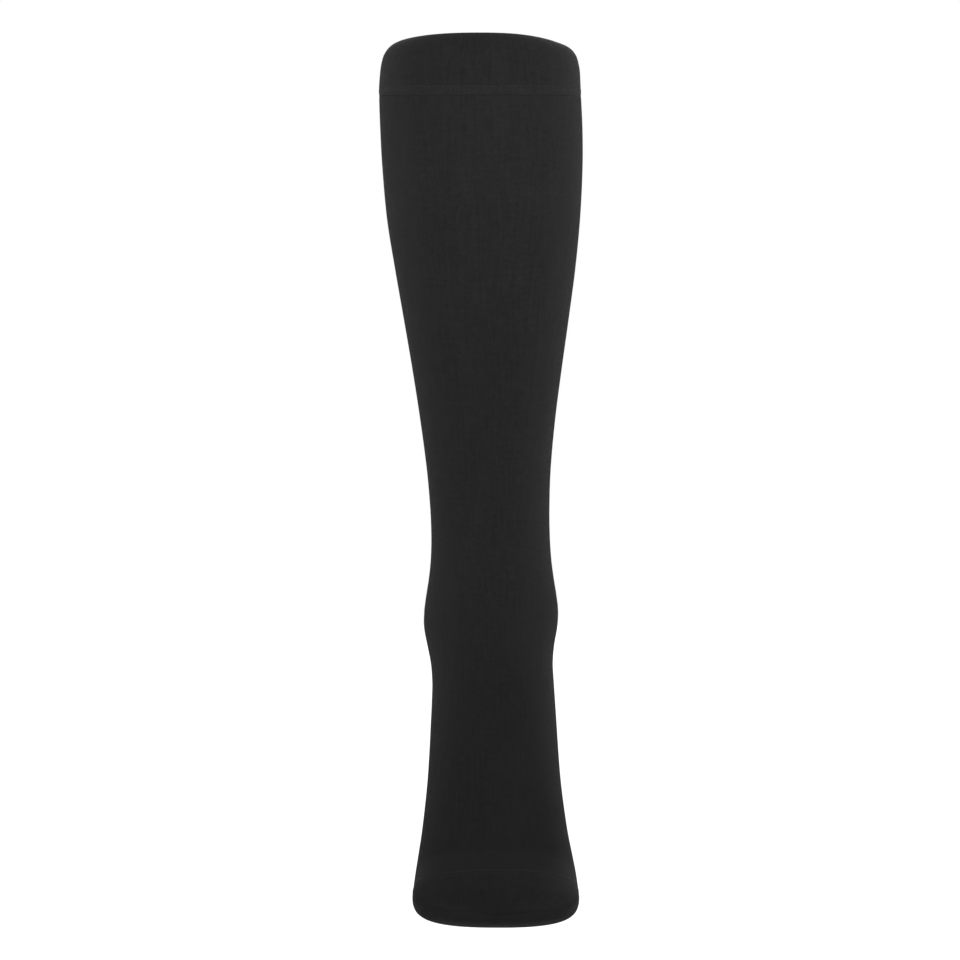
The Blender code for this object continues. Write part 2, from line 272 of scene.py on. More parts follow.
# Painted shade on the sides, added to that tone: they are a little darker at the toes, and from the
# ankle up to the calf. Across is 0 at the middles of front and back, and 1 at the sides.
SIDE_START = 0.35
SIDE_END = 0.80
LOWEST_SIDE_PAINTED_SHADE = -0.16
SIDE_PAINTED_SHADE_STEPS = (
    ToneStep(-0.425, -0.400, 0.16),
    ToneStep(-0.350, -0.290, -0.13),
    ToneStep(-0.220, -0.170, 0.04),
    ToneStep(-0.150, -0.060, 0.09),
)

# Painted light on the toe's knit: it is lighter at its sides, and along its seam. The seam's gain
# fades out between these distances from it in metres.
TOE_SIDE_PAINTED_LIGHT = 0.20
TOE_SEAM_PAINTED_LIGHT = 0.14
TOE_EDGE_START = 0.003
TOE_EDGE_END = 0.009

# Sewing thread: its grey, the noise of its fibres in cells to a metre, and what that noise adds
THREAD_GREY = 0.029
FIBRE_CELLS = 900.0
THREAD_SHADE = 0.8
FIBRE_SHADE = 0.4
THREAD_ROUGHNESS = 0.55
FIBRE_ROUGHNESS = 0.2
THREAD_SPECULAR = 0.25
THREAD_SHEEN = 0.1
THREAD_SIDES = 6

# Points of one stitch: a share of its reach from its middle, and how far out from the form
ThreadPoint = namedtuple("ThreadPoint", "share out")

# Two rows of stitches on the band, at distances past its seam
BAND_STITCHES = 124
BAND_STITCH_LENGTH = 2.2
BAND_STITCH_ROWS = (-1.3, 2.4)
BAND_THREAD = 0.17
BAND_STITCH = (
    ThreadPoint(-1.0, -0.26),
    ThreadPoint(-0.86, -0.03),
    ThreadPoint(-0.4, 0.03),
    ThreadPoint(0.4, 0.03),
    ThreadPoint(0.86, -0.03),
    ThreadPoint(1.0, -0.26),
)

# The looper thread on the band's inner side. Its shares run from 0 at one row of stitches to 1 at the
# other, and it is sunk into the cloth at both ends.
LOOPER_THREAD = 0.15
LOOPER_STITCH = (
    ThreadPoint(-0.04, 0.2),
    ThreadPoint(0.08, 0.0),
    ThreadPoint(0.5, -0.06),
    ThreadPoint(0.92, 0.0),
    ThreadPoint(1.04, 0.2),
)

# Loops over the toe's seam: their reach along the cloth, and their lean as a share of their spacing
TOE_LOOPS = 196
TOE_LOOP_REACH = 0.9
TOE_LOOP_LEAN = 0.3
TOE_THREAD = 0.17
TOE_LOOP = (
    ThreadPoint(-1.0, -0.14),
    ThreadPoint(-0.75, 0.05),
    ThreadPoint(0.0, 0.09),
    ThreadPoint(0.75, 0.05),
    ThreadPoint(1.0, -0.14),
)

# Gores: the lines between the heel's halves. Their points lie at even steps of a turn in degrees from
# the side towards the back, and each is found by halving the stretch between two places down.
GORE_HIGHEST = LEG_END + 1
GORE_LOWEST = TOE_SEAM - 4.0
GORE_TURN = 80.0
GORE_STEPS = 40
GORE_HALVINGS = 24

# Loops across the gores, between two distances back
GORE_START = 8.0
GORE_END = 62.0
GORE_LOOP_PITCH = 1.3
GORE_LOOP_REACH = 0.6
GORE_LOOP_LEAN = 0.3
GORE_THREAD = 0.12
GORE_LOOP = (
    ThreadPoint(-1.0, -0.28),
    ThreadPoint(-0.7, -0.05),
    ThreadPoint(0.0, 0.02),
    ThreadPoint(0.7, -0.05),
    ThreadPoint(1.0, -0.28),
)

# Studio, in metres and watts
FLOOR_SIZE = 40.0
FLOOR_LEVEL = -0.64
FLOOR_GREY = 0.9
FLOOR_ROUGHNESS = 0.9
FLOOR_GLOW = 0.9
LIGHT_AIM = Vector((0.0, 0.0, -0.15))
Softbox = namedtuple("Softbox", "name place width height power")
SOFTBOXES = (
    Softbox("right_softbox", Vector((0.9, -1.5, 0.1)), 0.5, 1.2, 6.3),
    Softbox("left_softbox", Vector((-0.9, -1.5, 0.1)), 0.5, 1.2, 1.8),
    Softbox("upper_softbox", Vector((0.0, -1.2, 0.7)), 0.7, 0.5, 2.2),
    Softbox("back_softbox", Vector((0.1, 1.7, 0.7)), 0.6, 1.0, 8.0),
)

# Light from all round, by the height that it comes from: 0 is straight below, and 1 straight above
Glow = namedtuple("Glow", "height strength")
SURROUNDINGS = (
    Glow(0.0, 0.60),
    Glow(0.30, 0.42),
    Glow(0.45, 0.40),
    Glow(0.5, 0.50),
    Glow(0.52, 0.94),
    Glow(0.56, 0.82),
    Glow(1.0, 0.0),
)

# Camera: metres, and millimetres for its sensor
CAMERA_DISTANCE = 4.5
CAMERA_HEIGHT = -0.2218
FRAME_WIDTH = 0.5088
SENSOR_WIDTH = 36.0


def smooth_curve(start, end, lead_in, lead_out, t):
    """A point of a smooth curve from start to end, which it leaves and meets along its leads."""
    return (
        start * (1 + 2 * t) * (1 - t) ** 2
        + end * t * t * (3 - 2 * t)
        + lead_in * t * (1 - t) ** 2
        - lead_out * t * t * (1 - t)
    )


def smooth_value(places, values, place):
    """Reads a smooth curve through the values, which stand at falling places."""
    last = len(places) - 1
    step = 0
    while step < last - 1 and place < places[step + 1]:
        step += 1

    def slope(index):
        low, high = max(index - 1, 0), min(index + 1, last)
        return (values[high] - values[low]) / (places[high] - places[low])

    span = places[step + 1] - places[step]
    t = min(max((place - places[step]) / span, 0.0), 1.0)
    return smooth_curve(values[step], values[step + 1], span * slope(step), span * slope(step + 1), t)


def reach_at(level):
    """How far the form reaches to the left and right of the origin at a level."""
    levels = [row.level for row in FRONT_OUTLINE]
    left = smooth_value(levels, [row.left for row in FRONT_OUTLINE], level)
    right = smooth_value(levels, [row.right for row in FRONT_OUTLINE], level)
    return left, right


def over_ankle_bones(point):
    """Moves a point outwards where it lies on an ankle bone."""
    moved = point.copy()
    for bone in ANKLE_BONES:
        if point.x * bone.side <= 0:
            continue
        rise = point.z - bone.level
        reach = bone.reach_up if rise > 0 else bone.reach_down
        distance = (rise / reach) ** 2 + ((point.y - bone.back) / bone.reach_back) ** 2
        moved.x += bone.side * bone.height * math.exp(-distance)
    return moved


def slanted_toe(point):
    """Draws a point of the toe back, more towards the tip and the side of the little toe."""
    ahead = max((-point.y - TOE_SLANT_START) / (TOE_TIP_FORWARD - TOE_SLANT_START), 0.0)
    return point + Vector((0.0, TOE_SLANT * ahead * (BIG_TOE_SIDE - point.x), 0.0))


def swell(turn, fullness):
    """Fills an ellipse out towards a rounded box, where fullness is over 2."""
    return (abs(math.cos(turn)) ** fullness + abs(math.sin(turn)) ** fullness) ** (-1 / fullness)


def section_point(section, turn):
    """The point of a section's ring at a turn: 0 is on the right, and a quarter turn at the front."""
    front = Vector((0.0, -section.front, section.front_level))
    back = Vector((0.0, section.back, section.back_level))
    middle = front.lerp(back, section.widest)
    left, right = reach_at(middle.z)
    centre = middle + Vector(((right - left) / 2, 0.0, 0.0))
    ahead = math.sin(turn) > 0
    size = swell(turn, section.fullness if ahead else section.back_fullness)
    across = Vector((section.width * (left + right) / 2 * math.cos(turn) * size, 0.0, 0.0))
    along = ((front if ahead else back) - middle) * abs(math.sin(turn)) * size
    return slanted_toe(over_ankle_bones(centre + across + along))


def band_point(row, turn):
    """The point of a band ring at a turn: a smaller copy of the seam's ring, dipping at its sides."""
    seam = SECTIONS[0]
    left, right = reach_at(seam.front_level)
    size = swell(turn, BAND_FULLNESS)
    dip = RIM_DIP_RIGHT if math.cos(turn) > 0 else RIM_DIP_LEFT
    turned_in = (1 - row.share) / (1 - RIM_SHARE)
    return Vector((
        (right - left) / 2 + row.share * (left + right) / 2 * math.cos(turn) * size,
        (seam.back - seam.front) / 2 - row.share * (seam.back + seam.front) / 2 * math.sin(turn) * size,
        row.level - turned_in * dip * abs(math.cos(turn)) ** RIM_DIP_SHAPE,
    ))


def toe_tip():
    """The point where all columns meet at the end of the toe."""
    left, right = reach_at(TOE_TIP_LEVEL)
    return slanted_toe(Vector(((right - left) / 2, -TOE_TIP_FORWARD, TOE_TIP_LEVEL)))


def guide_points(turn):
    """The points that the cloth runs through at one turn, from the rim to just past the toe's tip."""
    points = [band_point(row, turn) for row in BAND_PROFILE]
    points += [section_point(section, turn) for section in SECTIONS]
    return points + [toe_tip(), section_point(SECTIONS[-1], turn + math.pi)]


def path_point(path, place):
    """The point of a smooth curve through a path's guide points, at a place down it."""
    index = min(max(int(place), 0), len(path) - 3)
    before, start, end, after = path[max(index - 1, 0)], path[index], path[index + 1], path[index + 2]
    chord = (end - start).length
    lead_in = (end - before).normalized() * chord
    lead_out = (after - start).normalized() * chord
    return smooth_curve(start, end, lead_in, lead_out, place - index)


def place_past(path, place, past):
    """The place that lies a short distance past another along the cloth."""
    if past == 0:
        return place
    nudge = math.copysign(NUDGE, past)
    speed = (path_point(path, place + nudge) - path_point(path, place)).length / NUDGE
    return place + past / speed


def cloth_ring(paths, row):
    """One ring of points, moved out from the form by the row's own distance."""
    places = [place_past(path, row.place, row.past) for path in paths]
    points = [path_point(path, place) for path, place in zip(paths, places)]
    ring = []
    for column, point in enumerate(points):
        path, place = paths[column], places[column]
        down = path_point(path, place + NUDGE) - path_point(path, place - NUDGE)
        around = points[(column + 1) % len(points)] - points[column - 1]
        ring.append(point + around.cross(down).normalized() * row.out)
    return ring


def on_cloth(turn, row):
    """A point on the cloth at any turn, and the direction that points out from it there."""
    step = math.tau / COLUMNS
    here, before, after = (guide_points(turn + shift) for shift in (0.0, -step, step))
    place = place_past(here, row.place, row.past)
    down = path_point(here, place + NUDGE) - path_point(here, place - NUDGE)
    around = path_point(after, place) - path_point(before, place)
    normal = around.cross(down).normalized()
    return path_point(here, place) + normal * row.out, normal


def even_turns(row, count):
    """Turns that lie evenly round the ring of a row, however its shape bends."""
    ring = cloth_ring(PATHS, row)
    lengths = [0.0]
    for column in range(COLUMNS):
        lengths.append(lengths[-1] + (ring[(column + 1) % COLUMNS] - ring[column]).length)
    turns = []
    column = 0
    for index in range(count):
        target = lengths[-1] * index / count
        while lengths[column + 1] < target:
            column += 1
        share = (target - lengths[column]) / (lengths[column + 1] - lengths[column])
        turns.append(turn_at(column + share))
    return turns, lengths[-1]


def turn_at(column):
    """The turn of a column. The first one is in the middle of the back."""
    return math.tau * column / COLUMNS - math.pi / 2


PATHS = [guide_points(turn_at(column)) for column in range(COLUMNS)]


def plain_rows(stretch):
    """The rows of a plain stretch of the cloth."""
    length = stretch.end - stretch.start
    count = round(abs(length) / stretch.step)
    return [Row(stretch.start + length * index / count) for index in range(count + 1)]


def lengths_down(rings):
    """How far down the cloth each ring lies, as the mean of its columns, in metres."""
    lengths = [0.0]
    for upper, lower in zip(rings, rings[1:]):
        steps = [(upper[column] - lower[column]).length for column in range(0, COLUMNS, COLUMNS // 8)]
        lengths.append(lengths[-1] + sum(steps) / len(steps) * MM)
    return lengths


def add_cloth(mesh, rings, lengths=None, closed=False):
    """Adds the faces between rings, and maps them with turns across and metres down."""
    knit_map = mesh.loops.layers.uv.get("knit_map") or mesh.loops.layers.uv.new("knit_map")
    lengths = lengths or lengths_down(rings)
    rows = [[mesh.verts.new(point * MM) for point in ring] for ring in rings]
    pairs = list(zip(range(len(rows)), range(1, len(rows))))
    if closed:
        pairs.append((len(rows) - 1, 0))
    for upper, lower in pairs:
        end = lengths[lower] if lower else lengths[-1]
        for column in range(COLUMNS):
            after = (column + 1) % COLUMNS
            corners = rows[upper][column], rows[upper][after], rows[lower][after], rows[lower][column]
            face = mesh.faces.new(corners)
            left, right = column / COLUMNS, (column + 1) / COLUMNS
            places = ((left, lengths[upper]), (right, lengths[upper]), (right, end), (left, end))
            for loop, place in zip(face.loops, places):
                loop[knit_map].uv = place
    return rows


def finish_piece(name, mesh, *materials):
    """Makes a smooth-shaded object of a finished mesh."""
    data = bpy.data.meshes.new(name)
    mesh.to_mesh(data)
    mesh.free()
    data.shade_smooth()
    piece = bpy.data.objects.new(name, data)
    bpy.context.collection.objects.link(piece)
    for material in materials:
        data.materials.append(material)
    return piece


def give_wall(piece, thickness):
    """Thickens a sheet inwards, with the reverse of its knit inside."""
    wall = piece.modifiers.new("wall", "SOLIDIFY")
    wall.thickness = thickness * MM
    wall.offset = -1
    wall.material_offset = 1
    bpy.ops.object.select_all(action="DESELECT")
    bpy.context.view_layer.objects.active = piece
    piece.select_set(True)
    bpy.ops.object.modifier_apply(modifier=wall.name)


def add_thread(mesh, line, normals, radius):
    """Adds a short thread along a line, round in section and closed at its ends."""
    last = len(line) - 1
    rings = []
    for index, point in enumerate(line):
        ahead = (line[min(index + 1, last)] - line[max(index - 1, 0)]).normalized()
        side = ahead.cross(normals[index]).normalized()
        up = side.cross(ahead)
        ring = []
        for corner in range(THREAD_SIDES):
            angle = math.tau * corner / THREAD_SIDES
            spoke = math.cos(angle) * side + math.sin(angle) * up
            ring.append(mesh.verts.new((point + radius * spoke) * MM))
        rings.append(ring)
    for start, end in zip(rings, rings[1:]):
        for corner in range(THREAD_SIDES):
            after = (corner + 1) % THREAD_SIDES
            mesh.faces.new([start[corner], start[after], end[after], end[corner]])
    mesh.faces.new(rings[0][::-1])
    mesh.faces.new(rings[-1])


def add_cloth_thread(mesh, places, radius):
    """Adds a short thread through places on the cloth, each of which is a turn and a row."""
    line, normals = zip(*(on_cloth(turn, row) for turn, row in places))
    add_thread(mesh, line, normals, radius)


def feed(tree, node, values):
    """Gives a node's inputs their values in turn. Each is a number or another node's output."""
    for socket, value in zip(node.inputs, values):
        if isinstance(value, bpy.types.NodeSocket):
            tree.links.new(value, socket)
        else:
            socket.default_value = value
    return node.outputs[0]


def number(tree, operation, *values):
    """The result of a math node."""
    node = tree.nodes.new("ShaderNodeMath")
    node.operation = operation
    return feed(tree, node, values)


def vector_of(tree, *values):
    """Joins three numbers to a vector."""
    return feed(tree, tree.nodes.new("ShaderNodeCombineXYZ"), values)


def noise(tree, vector, detail):
    """A smooth noise of 0 to 1 at a vector, one cell to a unit."""
    node = tree.nodes.new("ShaderNodeTexNoise")
    node.inputs["Scale"].default_value = 1.0
    node.inputs["Detail"].default_value = detail
    tree.links.new(vector, node.inputs["Vector"])
    return node.outputs["Fac"]


def part_of(tree, vector, axis):
    """One of the three numbers of a vector."""
    split = tree.nodes.new("ShaderNodeSeparateXYZ")
    tree.links.new(vector, split.inputs[0])
    return split.outputs[axis]


def wave(tree, turns):
    """A wave of -1 to 1, one to each whole turn."""
    return number(tree, "SINE", number(tree, "MULTIPLY", turns, math.tau))


def smooth_step(tree, value, start, end, gain):
    """Rises smoothly from 0 to the gain as the value goes from start to end."""
    rise = tree.nodes.new("ShaderNodeMapRange")
    rise.interpolation_type = "SMOOTHSTEP"
    rise.inputs["From Min"].default_value = start
    rise.inputs["From Max"].default_value = end
    rise.inputs["To Max"].default_value = gain
    tree.links.new(value, rise.inputs["Value"])
    return rise.outputs[0]


def new_group(name, inputs, outputs):
    """A node group with its sockets. A map or a place is a vector, and all else is a number."""
    tree = bpy.data.node_groups.new(name, "ShaderNodeTree")
    for side, sockets in (("INPUT", inputs), ("OUTPUT", outputs)):
        for socket in sockets:
            kind = "NodeSocketVector" if socket in ("Map", "Place") else "NodeSocketFloat"
            tree.interface.new_socket(socket, in_out=side, socket_type=kind)
    given = tree.nodes.new("NodeGroupInput").outputs
    put = tree.nodes.new("NodeGroupOutput").inputs
    return tree, given, put


def uneven_yarn(tree, turns, metres):
    """How far the yarn's tone strays from its mean at a place on the knit's map."""
    angle = number(tree, "MULTIPLY", turns, math.tau)
    east, north = number(tree, "COSINE", angle), number(tree, "SINE", angle)
    stray = 0.0
    for layer in YARN_LAYERS:
        cells = vector_of(
            tree,
            number(tree, "MULTIPLY", east, layer.cells_round),
            number(tree, "MULTIPLY", north, layer.cells_round),
            number(tree, "MULTIPLY", metres, layer.cells_down),
        )
        shift = number(tree, "SUBTRACT", noise(tree, cells, layer.detail), 0.5)
        stray = number(tree, "MULTIPLY_ADD", shift, layer.share, stray)
    return stray


def make_knit_group():
    """The knit as a node group: stitches, inlaid elastic, and yarn that varies a little.

    Its map has turns round the leg across and metres of cloth down. Inlay is how much of the relief
    the rows of elastic make, and 1 is the purl side. Between the stitches, where the knit is low, the
    colour is darkened by painted shade. Streaks is how much the uneven yarn shows.
    """
    inputs = ("Map", "Wales", "Courses", "Inlay", "Gap", "Streaks")
    tree, given, put = new_group("knit", inputs, ("Shade", "Height"))
    turns = part_of(tree, given["Map"], 0)
    metres = part_of(tree, given["Map"], 1)
    wale = number(tree, "MULTIPLY", turns, given["Wales"])
    course = number(tree, "MULTIPLY", metres, given["Courses"])

    across = number(tree, "MULTIPLY", number(tree, "PINGPONG", wale, 0.5), 2.0)
    leg = number(tree, "SINE", number(tree, "MULTIPLY", across, math.pi))
    slanted = number(tree, "MULTIPLY_ADD", across, LOOP_SLANT, course)
    loop = number(tree, "MULTIPLY_ADD", wave(tree, slanted), LOOP_WAIST, 1.0 - LOOP_WAIST)
    stitches = number(tree, "MULTIPLY", leg, loop)
    waved_course = number(tree, "MULTIPLY_ADD", wave(tree, wale), ROW_WAVE, course)
    ridges = number(tree, "MULTIPLY_ADD", wave(tree, waved_course), 0.5, 0.5)
    plain = number(tree, "SUBTRACT", 1.0, given["Inlay"])
    inlaid = number(tree, "MULTIPLY", ridges, given["Inlay"])
    height = number(tree, "MULTIPLY_ADD", stitches, plain, inlaid)

    # Painted shade: the colour is darker between the stitches, where the knit is low
    gap = number(tree, "MULTIPLY", number(tree, "SUBTRACT", 1.0, height), given["Gap"])
    drift = number(tree, "MULTIPLY_ADD", uneven_yarn(tree, turns, metres), given["Streaks"], 1.0)
    shade = number(tree, "MULTIPLY", number(tree, "SUBTRACT", 1.0, gap), drift)
    tree.links.new(shade, put["Shade"])
    tree.links.new(height, put["Height"])
    return tree


def to_the_sides(tree, knit_map):
    """How far round a place is: 0 at the middles of front and back, and 1 at the sides."""
    return number(tree, "ABSOLUTE", wave(tree, part_of(tree, knit_map, 0)))


def tone_steps(tree, level, lowest, steps):
    """A tone that has one value at the toes, and changes by each step in turn up the stocking."""
    tone = lowest
    for step in steps:
        tone = number(tree, "ADD", smooth_step(tree, level, step.start, step.end, step.gain), tone)
    return tone


def make_stretch_and_shade_group():
    """How light the leg's and foot's knit is: most at the calf, where it is stretched most, with painted
    shade darker low on the foot and at the sides.
    """
    tree, given, put = new_group("stretch", ("Place", "Map"), ("Tone",))
    level = part_of(tree, given["Place"], 2)
    tone = tone_steps(tree, level, LOWEST_TONE, LEG_STRETCH_AND_SHADE_TONES)
    # Painted shade: the sides are darker at the toes, and from the ankle up to the calf
    side_painted_shade = tone_steps(tree, level, LOWEST_SIDE_PAINTED_SHADE, SIDE_PAINTED_SHADE_STEPS)
    at_side = smooth_step(tree, to_the_sides(tree, given["Map"]), SIDE_START, SIDE_END, 1.0)
    tree.links.new(number(tree, "MULTIPLY_ADD", side_painted_shade, at_side, tone), put["Tone"])
    return tree


def make_toe_painted_light_group():
    """Painted light on the toe's knit: lighter along the seam that it starts from, and at its sides."""
    tree, given, put = new_group("toe_painted_light", ("Map",), ("Tone",))
    past_seam = part_of(tree, given["Map"], 1)
    fall = smooth_step(tree, past_seam, TOE_EDGE_START, TOE_EDGE_END, -TOE_SEAM_PAINTED_LIGHT)
    rise = smooth_step(tree, to_the_sides(tree, given["Map"]), SIDE_START, SIDE_END, TOE_SIDE_PAINTED_LIGHT)
    tone = number(tree, "ADD", number(tree, "ADD", fall, rise), 1.0 + TOE_SEAM_PAINTED_LIGHT)
    tree.links.new(tone, put["Tone"])
    return tree


def new_material(name):
    """A material, with its tree of nodes and its shader."""
    material = bpy.data.materials.new(name)
    material.use_nodes = True
    return material, material.node_tree, material.node_tree.nodes["Principled BSDF"]


def tinted(tree, grey, shade):
    """A grey that is scaled by a shade."""
    tint = tree.nodes.new("ShaderNodeVectorMath")
    tint.operation = "SCALE"
    tint.inputs[0].default_value = (grey, grey, grey)
    tree.links.new(shade, tint.inputs["Scale"])
    return tint.outputs[0]


def tone_at_place(tree, tone_group, knit_map):
    """The tone that a group gives at each place, from whichever of the two inputs it has."""
    tone = tree.nodes.new("ShaderNodeGroup")
    tone.node_tree = tone_group
    place = tree.nodes.new("ShaderNodeTexCoord")
    for socket, source in (("Place", place.outputs["Object"]), ("Map", knit_map)):
        if socket in tone.inputs:
            tree.links.new(source, tone.inputs[socket])
    return tone.outputs["Tone"]


def knit_material(name, knit_group, finish, tone_group=None):
    """Black knit in one finish, with painted shade between its stitches. Where it has a tone group it is
    lighter and darker by place, partly from the knit's stretch and partly as painted light and shade.
    """
    material, tree, shader = new_material(name)
    knit_map = tree.nodes.new("ShaderNodeUVMap")
    knit_map.uv_map = "knit_map"
    knit = tree.nodes.new("ShaderNodeGroup")
    knit.node_tree = knit_group
    tree.links.new(knit_map.outputs[0], knit.inputs["Map"])
    knit.inputs["Wales"].default_value = WALES
    knit.inputs["Courses"].default_value = COURSES
    knit.inputs["Inlay"].default_value = finish.inlay
    knit.inputs["Gap"].default_value = finish.gap
    knit.inputs["Streaks"].default_value = finish.streaks
    shade, height = knit.outputs["Shade"], knit.outputs["Height"]
    if tone_group:
        shade = number(tree, "MULTIPLY", shade, tone_at_place(tree, tone_group, knit_map.outputs[0]))
    tree.links.new(tinted(tree, finish.grey, shade), shader.inputs["Base Color"])
    roughness = number(tree, "MULTIPLY_ADD", height, ROUGHNESS_ON_TOP, KNIT_ROUGHNESS)
    tree.links.new(roughness, shader.inputs["Roughness"])
    relief = tree.nodes.new("ShaderNodeBump")
    relief.inputs["Strength"].default_value = RELIEF_STRENGTH
    relief.inputs["Distance"].default_value = KNIT_RELIEF * MM
    tree.links.new(height, relief.inputs["Height"])
    tree.links.new(relief.outputs[0], shader.inputs["Normal"])
    shader.inputs["Specular IOR Level"].default_value = KNIT_SPECULAR
    shader.inputs["Sheen Weight"].default_value = finish.sheen
    shader.inputs["Sheen Roughness"].default_value = finish.spread
    return material


def thread_material():
    """Black sewing thread, a little smoother than the knit."""
    material, tree, shader = new_material("sewing_thread")
    place = tree.nodes.new("ShaderNodeTexCoord")
    fibres = tree.nodes.new("ShaderNodeTexNoise")
    fibres.inputs["Scale"].default_value = FIBRE_CELLS
    tree.links.new(place.outputs["Object"], fibres.inputs["Vector"])
    shade = number(tree, "MULTIPLY_ADD", fibres.outputs["Fac"], FIBRE_SHADE, THREAD_SHADE)
    tree.links.new(tinted(tree, THREAD_GREY, shade), shader.inputs["Base Color"])
    roughness = number(tree, "MULTIPLY_ADD", fibres.outputs["Fac"], FIBRE_ROUGHNESS, THREAD_ROUGHNESS)
    tree.links.new(roughness, shader.inputs["Roughness"])
    shader.inputs["Specular IOR Level"].default_value = THREAD_SPECULAR
    shader.inputs["Sheen Weight"].default_value = THREAD_SHEEN
    return material


def in_strip(row):
    """Whether a row lies on the band's stitched strip."""
    return row.place == BAND_SEAM and STRIP_START < row.past < STRIP_END


def make_band(knit, strip_painted_light_knit, reverse):
    """The knee band: doubled cloth, folded over at the rim, its lower edge stitched down on the leg."""
    flap = [
        Row(BAND_SEAM, -4.4, 0.0),
        Row(BAND_SEAM, -3.0, 0.03),
        Row(BAND_SEAM, -2.2, 0.04),
        Row(BAND_SEAM, -1.8, 0.01),
        Row(BAND_SEAM, -1.5, -0.08),
        Row(BAND_SEAM, -1.3, -0.11),
        Row(BAND_SEAM, -1.1, -0.08),
        Row(BAND_SEAM, -0.75, 0.04),
        Row(BAND_SEAM, -0.2, 0.12),
        Row(BAND_SEAM, 0.5, 0.15),
        Row(BAND_SEAM, 1.2, 0.13),
        Row(BAND_SEAM, 1.8, 0.05),
        Row(BAND_SEAM, 2.15, -0.07),
        Row(BAND_SEAM, 2.4, -0.13),
        Row(BAND_SEAM, 2.65, -0.10),
        Row(BAND_SEAM, 2.88, -0.08),
        Row(BAND_SEAM, 2.98, -0.13),
        Row(BAND_SEAM, 3.01, -0.28),
        Row(BAND_SEAM, 2.98, -0.58),
        Row(BAND_SEAM, 2.85, -BAND_LAYER),
    ]
    slot = BAND_DEPTH - BAND_LAYER
    turned_under = [
        Row(BAND_SEAM, 1.2, -BAND_LAYER),
        Row(BAND_SEAM, -0.7, -BAND_LAYER),
        Row(BAND_SEAM, -0.95, -BAND_LAYER - 0.2),
        Row(BAND_SEAM, -0.95, -slot + 0.2),
        Row(BAND_SEAM, -0.7, -slot),
        Row(BAND_SEAM, 1.2, -slot),
        Row(BAND_SEAM, 3.6, -slot),
        Row(BAND_SEAM, 3.95, -slot - 0.15),
        Row(BAND_SEAM, 4.05, -slot - 0.35),
        Row(BAND_SEAM, 3.95, -BAND_DEPTH + 0.15),
        Row(BAND_SEAM, 3.6, -BAND_DEPTH),
        Row(BAND_SEAM, 2.0, -BAND_DEPTH),
        Row(BAND_SEAM, 0.0, -BAND_DEPTH),
        Row(BAND_SEAM, -2.0, -BAND_DEPTH),
    ]
    outer_rows = plain_rows(BAND_STRETCH) + flap
    inner_rows = plain_rows(BAND_STRETCH._replace(start=BAND_STRETCH.end, end=BAND_STRETCH.start))
    outer = [cloth_ring(PATHS, row) for row in outer_rows]
    hidden = [cloth_ring(PATHS, row) for row in turned_under]
    inner = [cloth_ring(PATHS, row._replace(out=-BAND_DEPTH)) for row in inner_rows]
    mesh = bmesh.new()
    add_cloth(mesh, outer + hidden + inner + rim_fold(outer, inner), closed=True)

    materials = (knit, reverse, strip_painted_light_knit)
    inner_end = len(outer) + len(hidden) + len(inner)
    for index, face in enumerate(mesh.faces):
        row = index // COLUMNS
        if len(outer) < row < inner_end:
            face.material_index = materials.index(reverse)
        elif row < len(outer) and in_strip(outer_rows[row]):
            face.material_index = materials.index(strip_painted_light_knit)
    return finish_piece("knee_band_cloth", mesh, *materials)


def rim_fold(outer, inner):
    """The rings of the rim's round fold, from the inner face over the top to the outer one."""
    rings = []
    for step in range(1, RIM_FOLD_STEPS):
        angle = math.pi * step / RIM_FOLD_STEPS
        ring = []
        for column in range(COLUMNS):
            start, end = inner[-1][column], outer[0][column]
            middle, radius = (start + end) / 2, (end - start) / 2
            up = outer[0][column] - outer[1][column]
            up = (up - up.project(radius)).normalized() * radius.length
            ring.append(middle - radius * math.cos(angle) + up * math.sin(angle))
        rings.append(ring)
    return rings


def leg_rows():
    """The rows of the leg and foot, from where they are tucked under the band to the toe's seam."""
    tucked = [
        Row(BAND_SEAM, -0.4, -0.76),
        Row(BAND_SEAM, 1.0, -0.76),
        Row(BAND_SEAM, 2.7, -0.76),
        Row(BAND_SEAM, 2.95, -0.72),
        Row(BAND_SEAM, 3.04, -0.55),
        Row(BAND_SEAM, 3.05, -0.28),
        Row(BAND_SEAM, 3.08, -0.13),
        Row(BAND_SEAM, 3.25, -0.06),
        Row(BAND_SEAM, 3.9, -0.03),
        Row(BAND_SEAM, 5.2, 0.0),
    ]
    ridge = [Row(TOE_SEAM, -at.from_seam, at.out) for at in reversed(TOE_RIDGE)]
    return tucked + plain_rows(LEG_STRETCH)[:-1] + plain_rows(FOOT_STRETCH) + ridge


def past_heel(point):
    """How far a point lies above the heel's upper plane, and how far below its lower one."""
    from_corner = point / MM - HEEL_CORNER
    return from_corner.dot(HEEL_TOP), from_corner.dot(HEEL_BOTTOM)


def in_heel(face):
    """Whether a face lies behind both of the heel's planes."""
    return max(past_heel(face.calc_center_median())) < 0


def near_join(mesh, plane, other):
    """The part of a sheet that is cut along one plane of the heel: its points, edges and faces."""
    near = []
    for face in mesh.faces:
        from_corner = face.calc_center_median() / MM - HEEL_CORNER
        if from_corner.dot(other) < CUT_PAST_CORNER and abs(from_corner.dot(plane)) < CUT_REACH:
            near += [*face.verts, *face.edges, face]
    return list(dict.fromkeys(near))


def join_move(vert, side):
    """The step by which a point near the heel's join is drawn in."""
    distance = max(past_heel(vert.co)) * side
    return vert.normal * -JOIN_DEPTH * MM * math.exp(-((distance / JOIN_REACH) ** 2))


